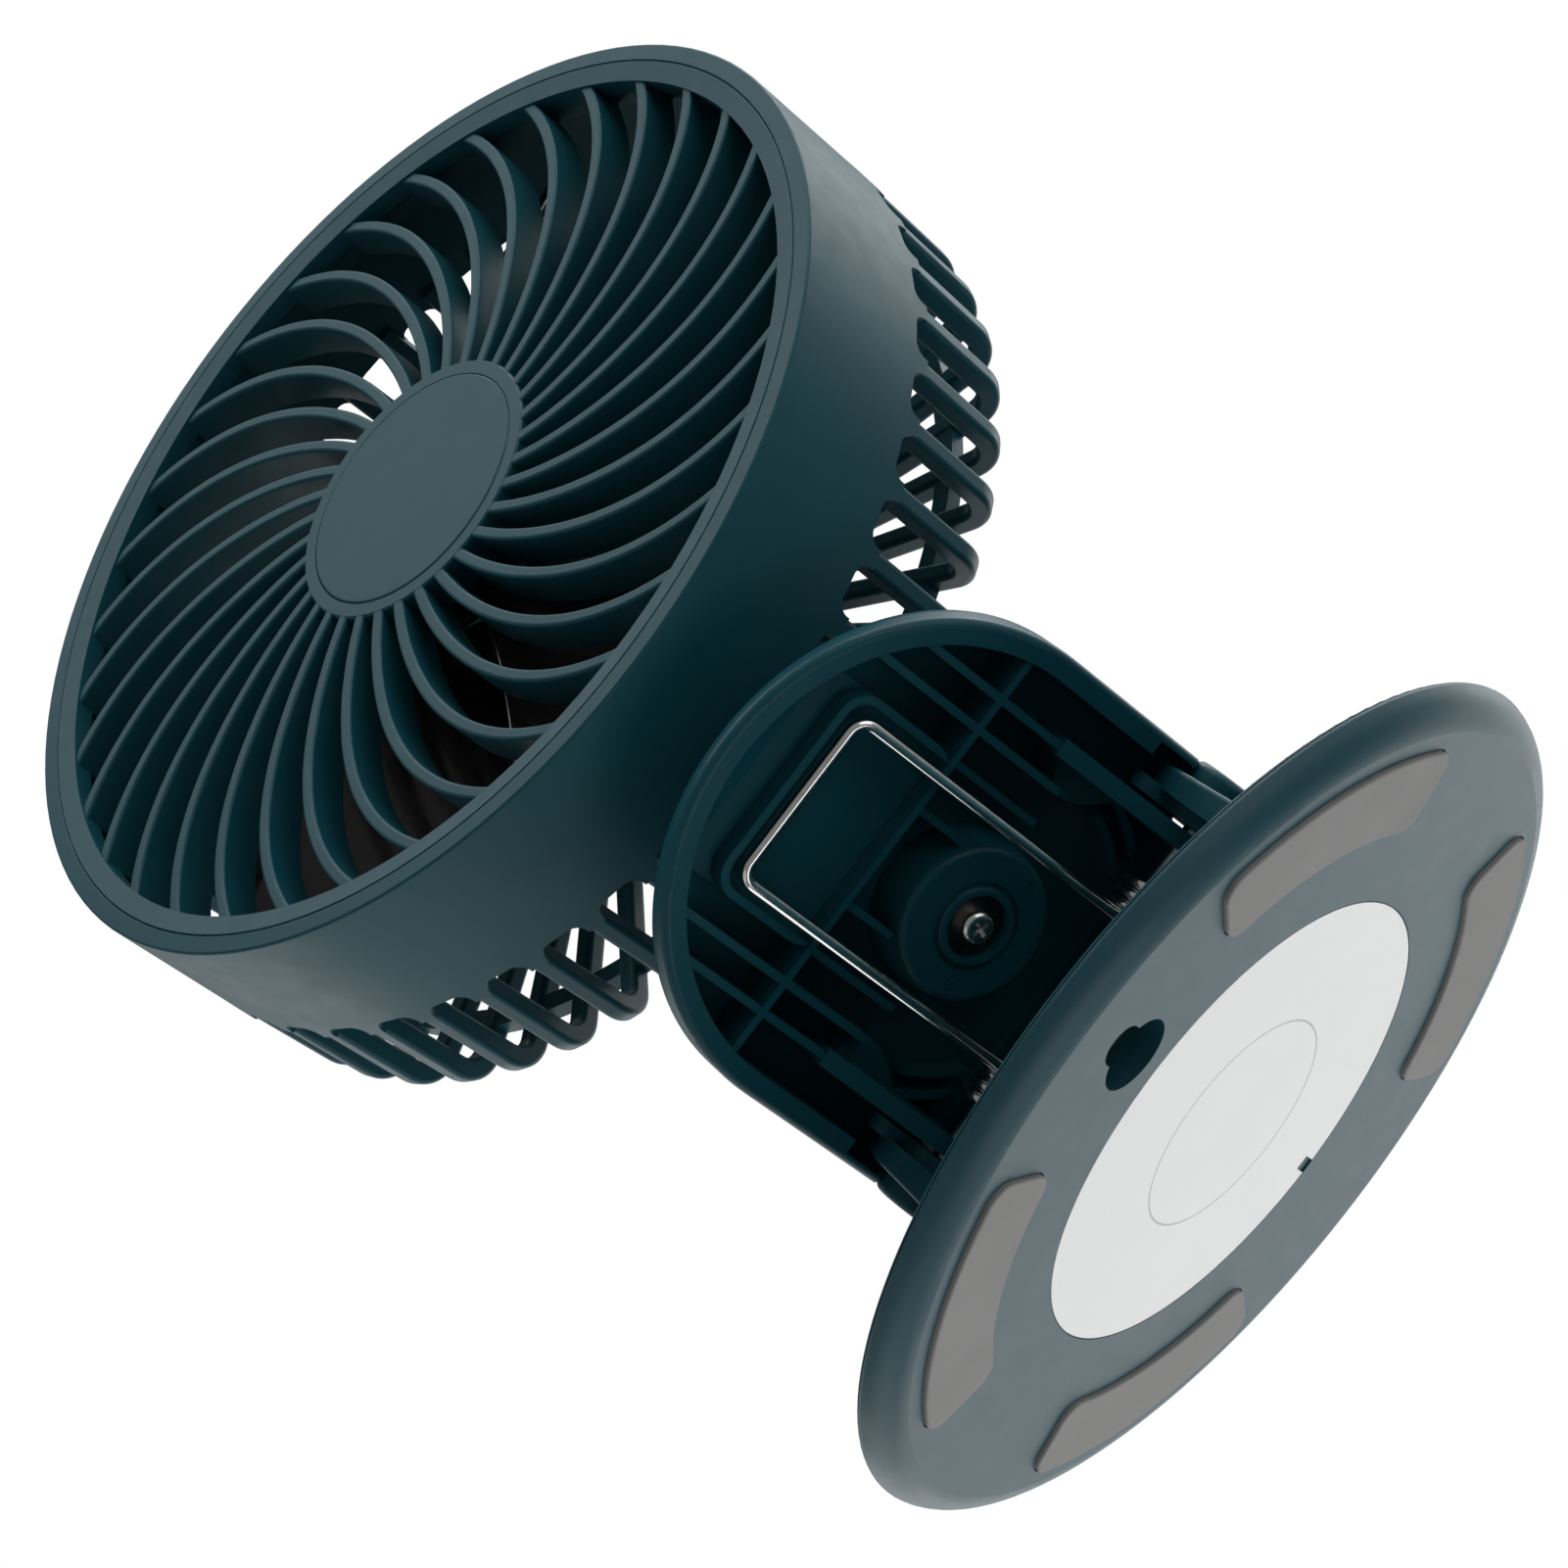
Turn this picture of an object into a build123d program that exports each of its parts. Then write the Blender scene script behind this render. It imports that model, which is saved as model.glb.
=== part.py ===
"""Clip fan: round base disc with a spring clip lever, a swivel and tilt neck, and a caged fan head.

Frame: +Z up, origin at the centre of the base disc in the plane that its pads stand on.
The handle of the clip and the front of the fan point to -Y, the jaws to +Y, the hinge pin lies along X.
All sizes in millimetres.
"""
from build123d import *
import os
from math import sin, cos, radians, degrees, pi, hypot, atan2, tan

# ---------------------------------------------------------------- driving dimensions
LIFT = 0.8            # pads stand this far below the underside of the base
# base disc
R_BASE = 74.6          # widest radius of the base
H_BASE = 13.6
FLAT_R = 69.4          # flat of the underside
EDGE_Z = 4.5           # level of the widest radius
TOP_R = 46.5           # flat of the top, with the domed slope outside it
WALL = 2.0
SEAM_Z = 5.1
R_LABEL = 39.6
T_LABEL = 0.3
PAD_R0, PAD_R1 = 52.6, 66.4
PAD_A0, PAD_A1 = 20.6, 67.6
PAD_CORNER = 3.6
PAD_T = 1.6
KEY_Y = -49.8
KEY_R = 6.1
KEY_SLOT = 3.4
KEY_END = -58.8
KEY_DEPTH = 7.0
# hinge and lever
HY, HZ = -5.0, 31.0   # hinge axis, along X
ALPHA = 31.5          # slope of the lever handle
PIN_R = 2.0
LV_HALF = 40.0        # half width of the D shaped lever
LV_ARC = 34.8         # centre of its round end, from the hinge
LV_RIM = 1.0          # level of the rim edge
LV_TOP = 13.0         # level of the outer face
LV_FLOOR = 10.5       # level of the inner floor
LV_INNER = 36.2       # half width inside the rim
RIB_N = 1.5
RIB_T = 1.3
CHEEK_X0, CHEEK_X1 = 27.3, 30.2
SW_T = 20.0           # swivel axis, from the hinge along the lever
WIRE_R = 1.0
COIL_R = 3.2
LOOP_X = 14.35
SPRING_DX = -0.25      # the spring sits a little to one side on its pin
LOOP_T = 58.5
# neck and tilt pivot
TILT_N = 36.0
FORK_X0, FORK_X1 = 7.2, 11.4
# head
PHI = 28.7            # upward slope of the fan axis
CY, CZ = -24.9, 165.6 # centre of the front ring
R_RING = 77.6         # inner edge of the grille ring
R_PART = 81.2         # parting line between grille and shell
D_PART = -0.6         # the front face rises this far towards its edge
R_LIP = 84.5
D_SLOT = 24.8         # depth of the front ends of the side slots
D_REAR = 50.8         # depth of the rear face of the cage
BAR_W = 3.4           # width of a cage bar
BAR_D = 3.6           # its depth from outside to inside
R_CORNER = 7.0        # outer radius where a bar turns inward
RING_R0, RING_R1 = 69.4, 72.6   # inboard ring of the rear
R_HUBPLATE = 32.0
R_SLOT = 84.3
R_REAR = 83.3
N_RIB = 34
N_BAR = 45
R_CAP = 24.1
R_CAPDISC = 21.4
RIB_W = 2.15
RIB_DEPTH = 7.0
# swirl of the front ribs: radius, angle
SWIRL = [(23.4, -3.1), (24.8, -2.4), (29.7, -0.05), (34.7, 2.37), (39.6, 4.68), (44.6, 7.06), (49.6, 9.46),
         (54.5, 11.95), (59.5, 14.6), (64.4, 17.45), (69.4, 20.6), (74.3, 24.02), (76.8, 25.9), (78.6, 27.3)]
N_BLADE = 7
R_IMP = 73.0
R_HUB = 22.0
SHAFT_R = 1.5

S, C_ = sin(radians(ALPHA)), cos(radians(ALPHA))
LEVER = Plane(origin=(0, HY, HZ), x_dir=(1, 0, 0), z_dir=(0, S, C_)).location   # local (x, -t, n)
SP, CP = sin(radians(PHI)), cos(radians(PHI))
HEAD = Plane(origin=(0, CY, CZ), x_dir=(1, 0, 0), z_dir=(0, -CP, SP)).location  # local (x, up, -depth)
UP = Location((0, 0, LIFT))
LOW = (Align.CENTER, Align.CENTER, Align.MIN)
os.makedirs("parts", exist_ok=True)
VOLS = {}


def yz_of(t, n):
    return (HY - t * C_ + n * S, HZ + t * S + n * C_)


def tn_of(y, z):
    return (-(y - HY) * C_ + (z - HZ) * S, (y - HY) * S + (z - HZ) * C_)


def head_of(y, z):
    """(up, depth) of a point given by y and z."""
    dy, dz = y - CY, z - CZ
    return (dy * SP + dz * CP, -(-dy * CP + dz * SP))


def solids(shape):
    return list(shape.solids())


def single(shape):
    """The largest solid of a boolean result, as a clean Part."""
    found = sorted(shape.solids(), key=lambda s: -s.volume)
    return found[0]


def save(name, shape, many=False):
    shape = UP * shape
    got = solids(shape)
    if not many and len(got) > 1:
        got = sorted(got, key=lambda s: -s.volume)
        print("NOTE", name, "has", len(got), "solids", [round(s.volume, 2) for s in got[:6]])
        shape = got[0]
    elif many:
        shape = Compound(children=got)
    else:
        shape = got[0]
    export_step(shape, f"parts/{name}.step")
    VOLS[name] = sum(s.volume for s in got)
    return shape


def cyl(r, z0, z1, x=0.0, y=0.0):
    return Pos(x, y, z0) * Cylinder(r, z1 - z0, align=LOW)


def box(x0, x1, y0, y1, z0, z1):
    return Pos((x0 + x1) / 2, (y0 + y1) / 2, (z0 + z1) / 2) * Box(x1 - x0, y1 - y0, z1 - z0)


def xcyl(r, x0, x1, y, z):
    """Cylinder along X."""
    return Pos(x0, y, z) * (Rot(0, 90, 0) * Cylinder(r, x1 - x0, align=LOW))


def yz_prism(points, x0, x1):
    """Prism of a (y, z) outline between two X."""
    face = make_face(Polyline([(0, y, z) for y, z in points], close=True))
    return Pos(x0, 0, 0) * extrude(face, amount=x1 - x0, dir=(1, 0, 0))


def tn_prism(points, x0, x1):
    """Prism of a (t, n) outline in the lever's frame, between two X, in the lever's local axes."""
    face = make_face(Polyline([(0, -t, n) for t, n in points], close=True))
    return Pos(x0, 0, 0) * extrude(face, amount=x1 - x0, dir=(1, 0, 0))


def lbox(x0, x1, t0, t1, n0, n1):
    return box(x0, x1, -t1, -t0, n0, n1)


def lxcyl(r, x0, x1, t, n):
    return xcyl(r, x0, x1, -t, n)


def arc_pad(r0, r1, a0, a1, corner, z0, z1, grow=0.0):
    """Arc shaped pad with rounded ends."""
    r0, r1 = r0 - grow, r1 + grow
    da0, da1 = degrees(grow / r0), degrees(grow / r1)
    p = lambda r, a: (r * cos(radians(a)), r * sin(radians(a)))
    am = (a0 + a1) / 2
    wire = [ThreePointArc(p(r1, a0 - da1), p(r1, am), p(r1, a1 + da1)), Line(p(r1, a1 + da1), p(r0, a1 + da0)),
            ThreePointArc(p(r0, a1 + da0), p(r0, am), p(r0, a0 - da0)), Line(p(r0, a0 - da0), p(r1, a0 - da1))]
    face = make_face(wire)
    face = fillet(face.vertices(), corner + grow)
    return Pos(0, 0, z0) * extrude(face, amount=z1 - z0, dir=(0, 0, 1))


# ================================================================= base


def rz(r, z):
    return (r, 0, z)


outer = make_face([
    Line(rz(0, 0), rz(FLAT_R, 0)),
    ThreePointArc(rz(FLAT_R, 0), rz(72.7, 1.4), rz(R_BASE, EDGE_Z)),
    ThreePointArc(rz(R_BASE, EDGE_Z), rz(R_BASE - 0.22, EDGE_Z + 0.82), rz(R_BASE - 0.95, EDGE_Z + 1.3)),
    Line(rz(R_BASE - 0.95, EDGE_Z + 1.3), rz(TOP_R + 3.4, H_BASE - 1.0)),
    ThreePointArc(rz(TOP_R + 3.4, H_BASE - 1.0), rz(TOP_R + 1.2, H_BASE - 0.42), rz(TOP_R - 1.6, H_BASE)),
    Line(rz(TOP_R - 1.6, H_BASE), rz(0, H_BASE)), Line(rz(0, H_BASE), rz(0, 0))])
outer = revolve(outer, axis=Axis.Z, revolution_arc=360)
inner = make_face(Polyline([rz(0, WALL), rz(FLAT_R - 0.6, WALL), rz(71.3, 3.3), rz(72.3, 4.3), rz(TOP_R + 2.2, H_BASE - WALL - 0.9), rz(TOP_R - 2.2, H_BASE - WALL), rz(0, H_BASE - WALL)], close=True))
inner = revolve(inner, axis=Axis.Z, revolution_arc=360)
shell = outer - inner
groove = revolve(make_face(Polyline([rz(73.6, SEAM_Z), rz(75.6, SEAM_Z + 0.24), rz(75.6, SEAM_Z - 0.24)], close=True)), axis=Axis.Z, revolution_arc=360)
shell = shell - groove
lower = shell & box(-80, 80, -80, 80, -1, SEAM_Z)
upper = shell & box(-80, 80, -80, 80, SEAM_Z, 20)

SCREWS = [(59.5 * cos(radians(a)), 59.5 * sin(radians(a))) for a in (44.1, 135.9, 224.1, 315.9)]
# lower shell: label and pad recesses, keyhole pocket, screw columns, battery walls
lower = lower + [cyl(3.4, 1.0, SEAM_Z, x, y) for x, y in SCREWS]
key_out = cyl(KEY_R + 1.6, 1.0, KEY_DEPTH, 0, KEY_Y) + box(-KEY_R - 1.6, KEY_R + 1.6, KEY_END - 1.5, KEY_Y, 1.0, KEY_DEPTH)
key_in = cyl(KEY_R, -1.0, KEY_DEPTH - 1.3, 0, KEY_Y) + box(-KEY_R, KEY_R, KEY_END, KEY_Y, WALL, KEY_DEPTH - 1.3)
key_in = key_in + box(-KEY_SLOT, KEY_SLOT, KEY_END + KEY_SLOT - 1.0, KEY_Y, -1.0, WALL + 0.5) + cyl(KEY_SLOT, -1, WALL + 0.5, 0, KEY_END + KEY_SLOT - 0.5)
lower = lower + key_out
lower = lower - key_in
lower = lower - cyl(R_LABEL + 0.25, -1, T_LABEL + 0.05)
lower = lower - [arc_pad(PAD_R0, PAD_R1, a, a + PAD_A1 - PAD_A0, PAD_CORNER, -1, PAD_T - LIFT, 0.25)
                 for a in (PAD_A0, 180 - PAD_A1, 180 + PAD_A0, 360 - PAD_A1)]
lower = lower - [cyl(1.45, -1, 8, x, y) for x, y in SCREWS]
lower = lower - [cyl(2.9, -1, 2.0, x, y) for x, y in SCREWS]
# walls that hold the battery
lower = lower + [box(-27.5, -25.7, -24, 24, 1.0, 8.5), box(25.7, 27.5, -24, 24, 1.0, 8.5)]
save("base_lower_shell", lower)

# upper shell: ears for the hinge, screw columns, jaw pad recess
upper = upper + [cyl(3.2, SEAM_Z, 7.6, x, y) for x, y in SCREWS]
upper = upper - [cyl(1.3, SEAM_Z - 1, 7.1, x, y) for x, y in SCREWS]
EAR_R = 10.2
for sgn in (-1, 1):
    x0, x1 = sorted((sgn * 33.0, sgn * 38.4))
    ear = yz_prism([(-22.0, 12.6), (12.0, 12.6), (HY + EAR_R - 0.1, HZ - 1.5), (HY - EAR_R + 0.1, HZ + 1.0)], x0, x1) + xcyl(EAR_R, x0, x1, HY, HZ)
    # the outer face leans in towards the top
    lean = make_face(Polyline([(sgn * 38.4, -30, 13.6), (sgn * 36.5, -30, HZ + EAR_R + 1), (sgn * 42, -30, HZ + EAR_R + 1), (sgn * 42, -30, 13.6)], close=True))
    ear = ear - extrude(lean, amount=60, dir=(0, 1, 0))
    edge = [e for e in ear.edges() if e.center().Z > 15 and abs(e.center().X) > 36 and abs(e.center().X) < 38.39]
    try:
        ear = fillet(edge, 0.8)
    except Exception as err:
        print("ear fillet skipped", err)
    x0, x1 = sorted((sgn * 31.0, sgn * 33.4))
    TT, TN = 10.4, 2.6
    tab = xcyl(8.0, x0, x1, HY, HZ) + yz_prism([(-17.0, 12.6), (8.0, 12.6), (HY + 7.9, HZ - 1.0), (HY - 7.9, HZ)], x0, x1)
    ty, tz = yz_of(TT, TN)
    ny, nz = yz_of(TT, TN + 2.8)
    my, mz = yz_of(TT, TN - 2.8)
    hy1, hz1 = yz_of(0, 4.5)
    hy2, hz2 = yz_of(0, -2.8)
    tab = tab + xcyl(2.8, x0, x1, ty, tz) + yz_prism([(ny, nz), (my, mz), (hy2, hz2), (hy1, hz1)], x0, x1)
    upper = upper + ear + tab
    xa, xb = sorted((sgn * 30.0, sgn * 39.0))
    upper = upper - xcyl(PIN_R, xa, xb, HY, HZ)
    xa, xb = sorted((sgn * 37.2, sgn * 39.0))
    upper = upper - xcyl(6.3, xa, xb, HY, HZ)
upper = upper - box(-22.2, 22.2, 14.8, 38.2, H_BASE - 0.5, H_BASE + 1)
upper = upper - key_out
# two tall ribs that the spring tails press on
upper = upper + [box(s * 20.6 - 1.9, s * 20.6 + 1.9, -24.5, -18.0, H_BASE - 0.5, H_BASE + 0.8) for s in (-1, 1)]
save("base_upper_shell", upper)

pads = [arc_pad(PAD_R0, PAD_R1, a, a + PAD_A1 - PAD_A0, PAD_CORNER, -LIFT, PAD_T - LIFT)
        for a in (PAD_A0, 180 - PAD_A1, 180 + PAD_A0, 360 - PAD_A1)]
pads = [fillet(p.edges().filter_by_position(Axis.Z, -LIFT - 0.01, -LIFT + 0.01), 0.35) for p in pads]
save("foot_pads", Compound(children=[q for p in pads for q in p.solids()]), many=True)

label = cyl(R_LABEL, 0.0, T_LABEL) - box(-0.2, 2.3, R_LABEL - 3.2, R_LABEL + 1, -1, 1)
save("underside_label", label)

base_screws = []
for x, y in SCREWS:
    base_screws.append(cyl(1.28, 1.9, 6.9, x, y) + cyl(2.7, 0.95, 2.0, x, y))
save("base_screws", Compound(children=[q for p in base_screws for q in p.solids()]), many=True)

battery = fillet(box(-25.4, 25.4, -30, 30, 2.1, 10.2).edges().filter_by(Axis.Z), 2.5)
save("battery_cell", battery)

lower_pad = box(-22.0, 22.0, 15.0, 38.0, H_BASE - 0.5, H_BASE + 0.9)
lower_pad = fillet(lower_pad.edges().filter_by(Axis.Z), 2.0)
lower_pad = lower_pad - [box(-23, 23, y - 0.6, y + 0.6, H_BASE + 0.45, H_BASE + 2) for y in (18.5, 22.4, 26.3, 30.2, 34.1)]
save("jaw_pad_lower", lower_pad)

# ================================================================= hinge pin and its caps
pin = xcyl(PIN_R - 0.02, -37.1, 37.1, HY, HZ)
save("hinge_pin", pin)
caps = []
for sgn in (-1, 1):
    x0, x1 = sorted((sgn * 37.22, sgn * 40.4))
    cap = xcyl(6.2, x0, x1, HY, HZ)
    caps.append(fillet([e for e in cap.edges() if abs(abs(e.center().X) - 40.4) < 0.05], 1.3))
save("hinge_caps", Compound(children=[q for p in caps for q in p.solids()]), many=True)

# ================================================================= clip lever (local axes: x, -t, n)


def arch(half, t_arc, t_back, n0, n1):
    wire = [Line((-half, -t_back), (-half, -t_arc)), ThreePointArc((-half, -t_arc), (0, -t_arc - half), (half, -t_arc)),
            Line((half, -t_arc), (half, -t_back)), Line((half, -t_back), (-half, -t_back))]
    return Pos(0, 0, n0) * extrude(make_face(wire), amount=n1 - n0, dir=(0, 0, 1))


def arch_edges(shape, n, t_back):
    return [e for e in shape.edges() if abs(e.center().Z - n) < 0.02 and e.center().Y < -t_back - 0.5]


T_BACK = -3.0
SLOPE_T, SLOPE = 36.0, 0.172     # from here the back of the lever falls away towards its tip


def above(n_flat):
    """Everything above a level that is flat near the hinge and falls away towards the tip."""
    return tn_prism([(SLOPE_T, n_flat), (90.0, n_flat - SLOPE * (90.0 - SLOPE_T)), (90.0, 30.0), (-20.0, 30.0), (-20.0, n_flat)], -60, 60)


plate = arch(LV_HALF, LV_ARC, T_BACK, LV_RIM, LV_TOP + 2) - above(LV_TOP)
crease = [e for e in plate.edges() if abs(e.center().Y + SLOPE_T) < 0.05 and abs(e.center().Z - LV_TOP) < 0.05 and e.length > 60]
try:
    plate = fillet(crease, 70.0)
except Exception as err:
    print("crease fillet skipped", err)
rim_top = [e for e in plate.edges() if e.center().Z > 5.5 and e.center().Y < -T_BACK - 0.5 and (abs(e.center().X) > 39.0 or e.length > 90)]
for r in (5.0, 4.0, 3.0):
    try:
        plate = fillet(rim_top, r)
        print("back edge radius", r)
        break
    except Exception as err:
        print("back edge fillet", r, "skipped", err)
plate = fillet(arch_edges(plate, LV_RIM, T_BACK), 1.3)
hollow = arch(LV_INNER, LV_ARC, T_BACK - 5, LV_RIM - 5, LV_FLOOR + 2) - above(LV_FLOOR)
plate = plate - hollow
inside = arch(LV_INNER + 0.8, LV_ARC, T_BACK, -20, LV_FLOOR + 3) - above(LV_FLOOR + 0.6)   # ribs are trimmed to this
ribs = []
for s in (-1, 1):
    ribs.append(lbox(s * 23.2 - RIB_T / 2, s * 23.2 + RIB_T / 2, 23.3, 76, RIB_N, 11.0))
    ribs.append(lbox(s * 28.7 - RIB_T / 2, s * 28.7 + RIB_T / 2, 26.0, 76, RIB_N, 11.0))
    ribs.append(lbox(s * 17.35 - 0.6, s * 17.35 + 0.6, 21.0, 41.5, 4.6, 11.0))
    ribs.append(lbox(s * 8.7 - 0.6, s * 8.7 + 0.6, 30.0, 41.5, 3.4, 11.0))
ribs.append(lbox(-37.0, 37.0, 40.7, 41.9, RIB_N, 11.0))
# raised platform with the frame that holds the spring loop
ribs.append(lbox(-17.9, 17.9, 41.0, 76, 5.3, 11.0))
frame_o = fillet((Pos(0, -51.5, 0) * Box(35.9, 21.6, 20)).edges().filter_by(Axis.Z), 4.6)
frame_i = fillet((Pos(0, -49.3, 0) * Box(33.3, 23.4, 30)).edges().filter_by(Axis.Z), 3.4)
frame = (frame_o - frame_i) & lbox(-20, 20, 40.7, 70, RIB_N, 9.0)
ribs.append(frame)
# gussets beside the pivot cheeks
for s in (-1, 1):
    wire = [Line((s * 22.7, -23.4), (s * 27.6, -25.5)), Line((s * 27.6, -25.5), (s * 27.6, -12.6)),
            ThreePointArc((s * 27.6, -12.6), (s * 24.3, -16.4), (s * 22.7, -23.4))]
    ribs.append(Pos(0, 0, 3.6) * extrude(make_face(wire), amount=7.4, dir=(0, 0, 1)))
    # curved webs round the swivel seat
    for r in (25.6, 29.2):
        ring = (cyl(r + 0.55, 6.4, 11.0, 0, -SW_T) - cyl(r - 0.55, 5.0, 12.0, 0, -SW_T)) & lbox(*sorted((s * 18.0, s * 27.6)), 2.0, 11.5, 6.0, 11.0)
        ribs.append(ring)
body = plate
for r in ribs:
    body = body + (r & inside)
# recesses for the ears of the base
body = body - [lbox(*sorted((s * 30.8, s * 38.65)), -10, 14.4, -8, 10.8) for s in (-1, 1)]
for s in (-1, 1):
    x0, x1 = sorted((s * 38.6, s * 45.0))
    body = body - lxcyl(6.6, x0, x1, 0, 0) - lbox(x0, x1, -10, 0, -8, 6.6)
# cheeks on the hinge pin, which run on to the jaw
for s in (-1, 1):
    x0, x1 = sorted((s * CHEEK_X0, s * CHEEK_X1))
    web = [(28.0, RIB_N - 0.3), (28.0, 11.2), (-3.2, 11.2), tn_of(5.0, 38.6), tn_of(31.0, 21.6), tn_of(36.5, 19.0), tn_of(38.5, 17.6),
           tn_of(37.5, 16.6), tn_of(13.5, 16.6), tn_of(6.0, 19.0), tn_of(-3.0, 24.9), (0.9, -6.4)]
    cheek = tn_prism(web, x0, x1) + lxcyl(6.5, x0, x1, 0, 0)
    body = body + cheek
# jaw: sloping back plate, bottom plate and nose between the cheeks
jaw_outer = [tn_of(*p) for p in ((-1.5, 42.0), (2.95, 38.3), (11.5, 17.6), (13.0, 16.6), (39.5, 16.6), (41.0, 18.0), (40.2, 20.2), (30.0, 24.2), (4.4, 40.6))]
jaw_outer = [(2.0, 12.9), (-3.05, 12.9), tn_of(30.0, 24.2), tn_of(39.6, 20.6), tn_of(41.2, 18.6), tn_of(40.4, 16.6), tn_of(12.0, 16.6),
             tn_of(12.0, 19.2), tn_of(27.0, 19.2), tn_of(30.0, 20.2), tn_of(26.5, 23.4), tn_of(3.2, 38.0), (-2.0, 10.6), (2.0, 10.6)]
jaw = tn_prism(jaw_outer, -28.0, 28.0)
body = body + jaw
body = body + [tn_prism([tn_of(13.0, 17.5), tn_of(30.0, 17.5), tn_of(30.0, 22.4), tn_of(13.5, 32.6)], x - 0.9, x + 0.9) for x in (-9.5, 9.5)]
# boss of the swivel
boss = Pos(0, -SW_T, 2.2) * Cone(12.2, 13.8, LV_FLOOR + 0.3 - 2.2, align=LOW)
boss = fillet(boss.edges().filter_by(GeomType.CIRCLE).filter_by_position(Axis.Z, 2.1, 2.3), 1.3)
lip = cyl(6.35, 1.5, 4.6, 0, -SW_T)
lip = fillet(lip.edges().filter_by(GeomType.CIRCLE).filter_by_position(Axis.Z, 1.4, 1.6), 0.6)
body = body + boss
body = body - (cyl(7.05, 1.9, 2.5, 0, -SW_T) - cyl(6.25, 1.0, 3.0, 0, -SW_T))
# shallow marks of the ejector pins
body = body - [cyl(1.2, 1.9, 2.32, x, -t) - cyl(0.95, 1.0, 3.0, x, -t) for x, t in ((-9.0, 17.0), (9.0, 17.0))]
body = body + lip
body = body - cyl(5.1, 0.0, 3.85, 0, -SW_T) - cyl(3.75, 3.0, 14.0, 0, -SW_T)
body = body - [lxcyl(PIN_R + 0.05, x0, x1, 0, 0) for x0, x1 in ((-31.5, -26.5), (26.5, 31.5))]
lever = LEVER * body
save("clip_lever", lever)

up_pad = box(-22.0, 22.0, 15.0, 38.0, H_BASE + 1.2, 16.6)
up_pad = fillet(up_pad.edges().filter_by(Axis.Z), 2.0)
up_pad = up_pad - [box(-23, 23, y - 0.6, y + 0.6, H_BASE, H_BASE + 1.7) for y in (18.5, 22.4, 26.3, 30.2, 34.1)]
save("jaw_pad_upper", up_pad)

# torsion spring: U shaped loop, two coils and two tails (local axes of the lever)
BAR_T = 41.3
LOOP_N = RIB_N - WIRE_R - 0.05
LOOP_N2 = -COIL_R + (LOOP_N + COIL_R) * LOOP_T / BAR_T
loop_pts = [(LOOP_X, 0.0, -COIL_R), (LOOP_X, -LOOP_T, LOOP_N2), (-LOOP_X, -LOOP_T, LOOP_N2), (-LOOP_X, 0.0, -COIL_R)]
path = FilletPolyline(*loop_pts, radius=2.6)
loop = sweep(Plane(origin=path @ 0, z_dir=path % 0) * Circle(WIRE_R), path=path)
parts = [loop]
for s in (-1, 1):
    rings = None
    for k in range(5):
        ring = Pos(s * (LOOP_X + 1.725 * k), 0, 0) * (Rot(0, 90, 0) * Torus(COIL_R, WIRE_R + 0.02))
        rings = ring if rings is None else rings + ring
    parts.append(rings)
spring = parts[0] + parts[1] + parts[2]
spring = LEVER * spring
for s in (-1, 1):
    xk = s * (LOOP_X + 6.9)
    tail = [(xk, HY - 0.0, HZ - COIL_R), (xk, -12.0, HZ - COIL_R - 4.2), (xk, -20.0, H_BASE + 0.8 + WIRE_R + 0.1), (xk, -23.5, H_BASE + 0.8 + WIRE_R)]
    tp = FilletPolyline(*tail, radius=2.4)
    spring = spring + sweep(Plane(origin=tp @ 0, z_dir=tp % 0) * Circle(WIRE_R), path=tp)
save("torsion_spring", Pos(SPRING_DX, 0, 0) * spring)

# ================================================================= neck (local axes of the lever)
neck = cyl(17.0, 13.25, 16.6, 0, -SW_T)
neck = fillet(neck.edges().filter_by(GeomType.CIRCLE).filter_by_position(Axis.Z, 16.5, 16.7), 1.6)
fork = []
for s in (-1, 1):
    x0, x1 = sorted((s * FORK_X0, s * FORK_X1))
    side = tn_prism([(SW_T + 11.5, 15.5), (SW_T - 11.5, 15.5), (SW_T - 8.3, TILT_N - 2), (SW_T + 8.3, TILT_N - 2)], x0, x1) + lxcyl(8.5, x0, x1, SW_T, TILT_N)
    edge = [e for e in side.edges() if abs(abs(e.center().X) - FORK_X1) < 0.03 and e.center().Z > 17]
    try:
        side = fillet(edge, 1.2)
    except Exception as err:
        print("fork fillet skipped", err)
    fork.append(side)
bridge = lbox(-FORK_X0 - 0.5, FORK_X0 + 0.5, SW_T - 9.5, SW_T + 9.5, 15.5, 21.5)
bridge = bridge - lxcyl(10.6, -20, 20, SW_T, TILT_N)
for f in fork + [bridge]:
    neck = neck + f
neck = neck + cyl(3.6, 3.75, 14.0, 0, -SW_T)
neck = neck - cyl(1.3, 3.0, 14.2, 0, -SW_T)
neck = neck - lxcyl(2.5, -12, 12, SW_T, TILT_N)
save("neck_fork", LEVER * neck)

washer = cyl(4.7, 3.0, 3.75, 0, -SW_T) - cyl(1.55, 2, 6, 0, -SW_T)
save("swivel_washer", LEVER * washer)
head_ = cyl(2.65, 0.7, 3.0, 0, -SW_T)
head_ = fillet(head_.edges().filter_by(GeomType.CIRCLE).filter_by_position(Axis.Z, 0.65, 0.75), 1.1)
sw_screw = head_ + cyl(1.28, 2.9, 13.6, 0, -SW_T)
for a in (0, 90):
    sw_screw = sw_screw - (Pos(0, -SW_T, 0) * (Rot(0, 0, a + 20) * box(-1.45, 1.45, -0.33, 0.33, 0.0, 1.9)))
save("swivel_screw", LEVER * sw_screw)

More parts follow.
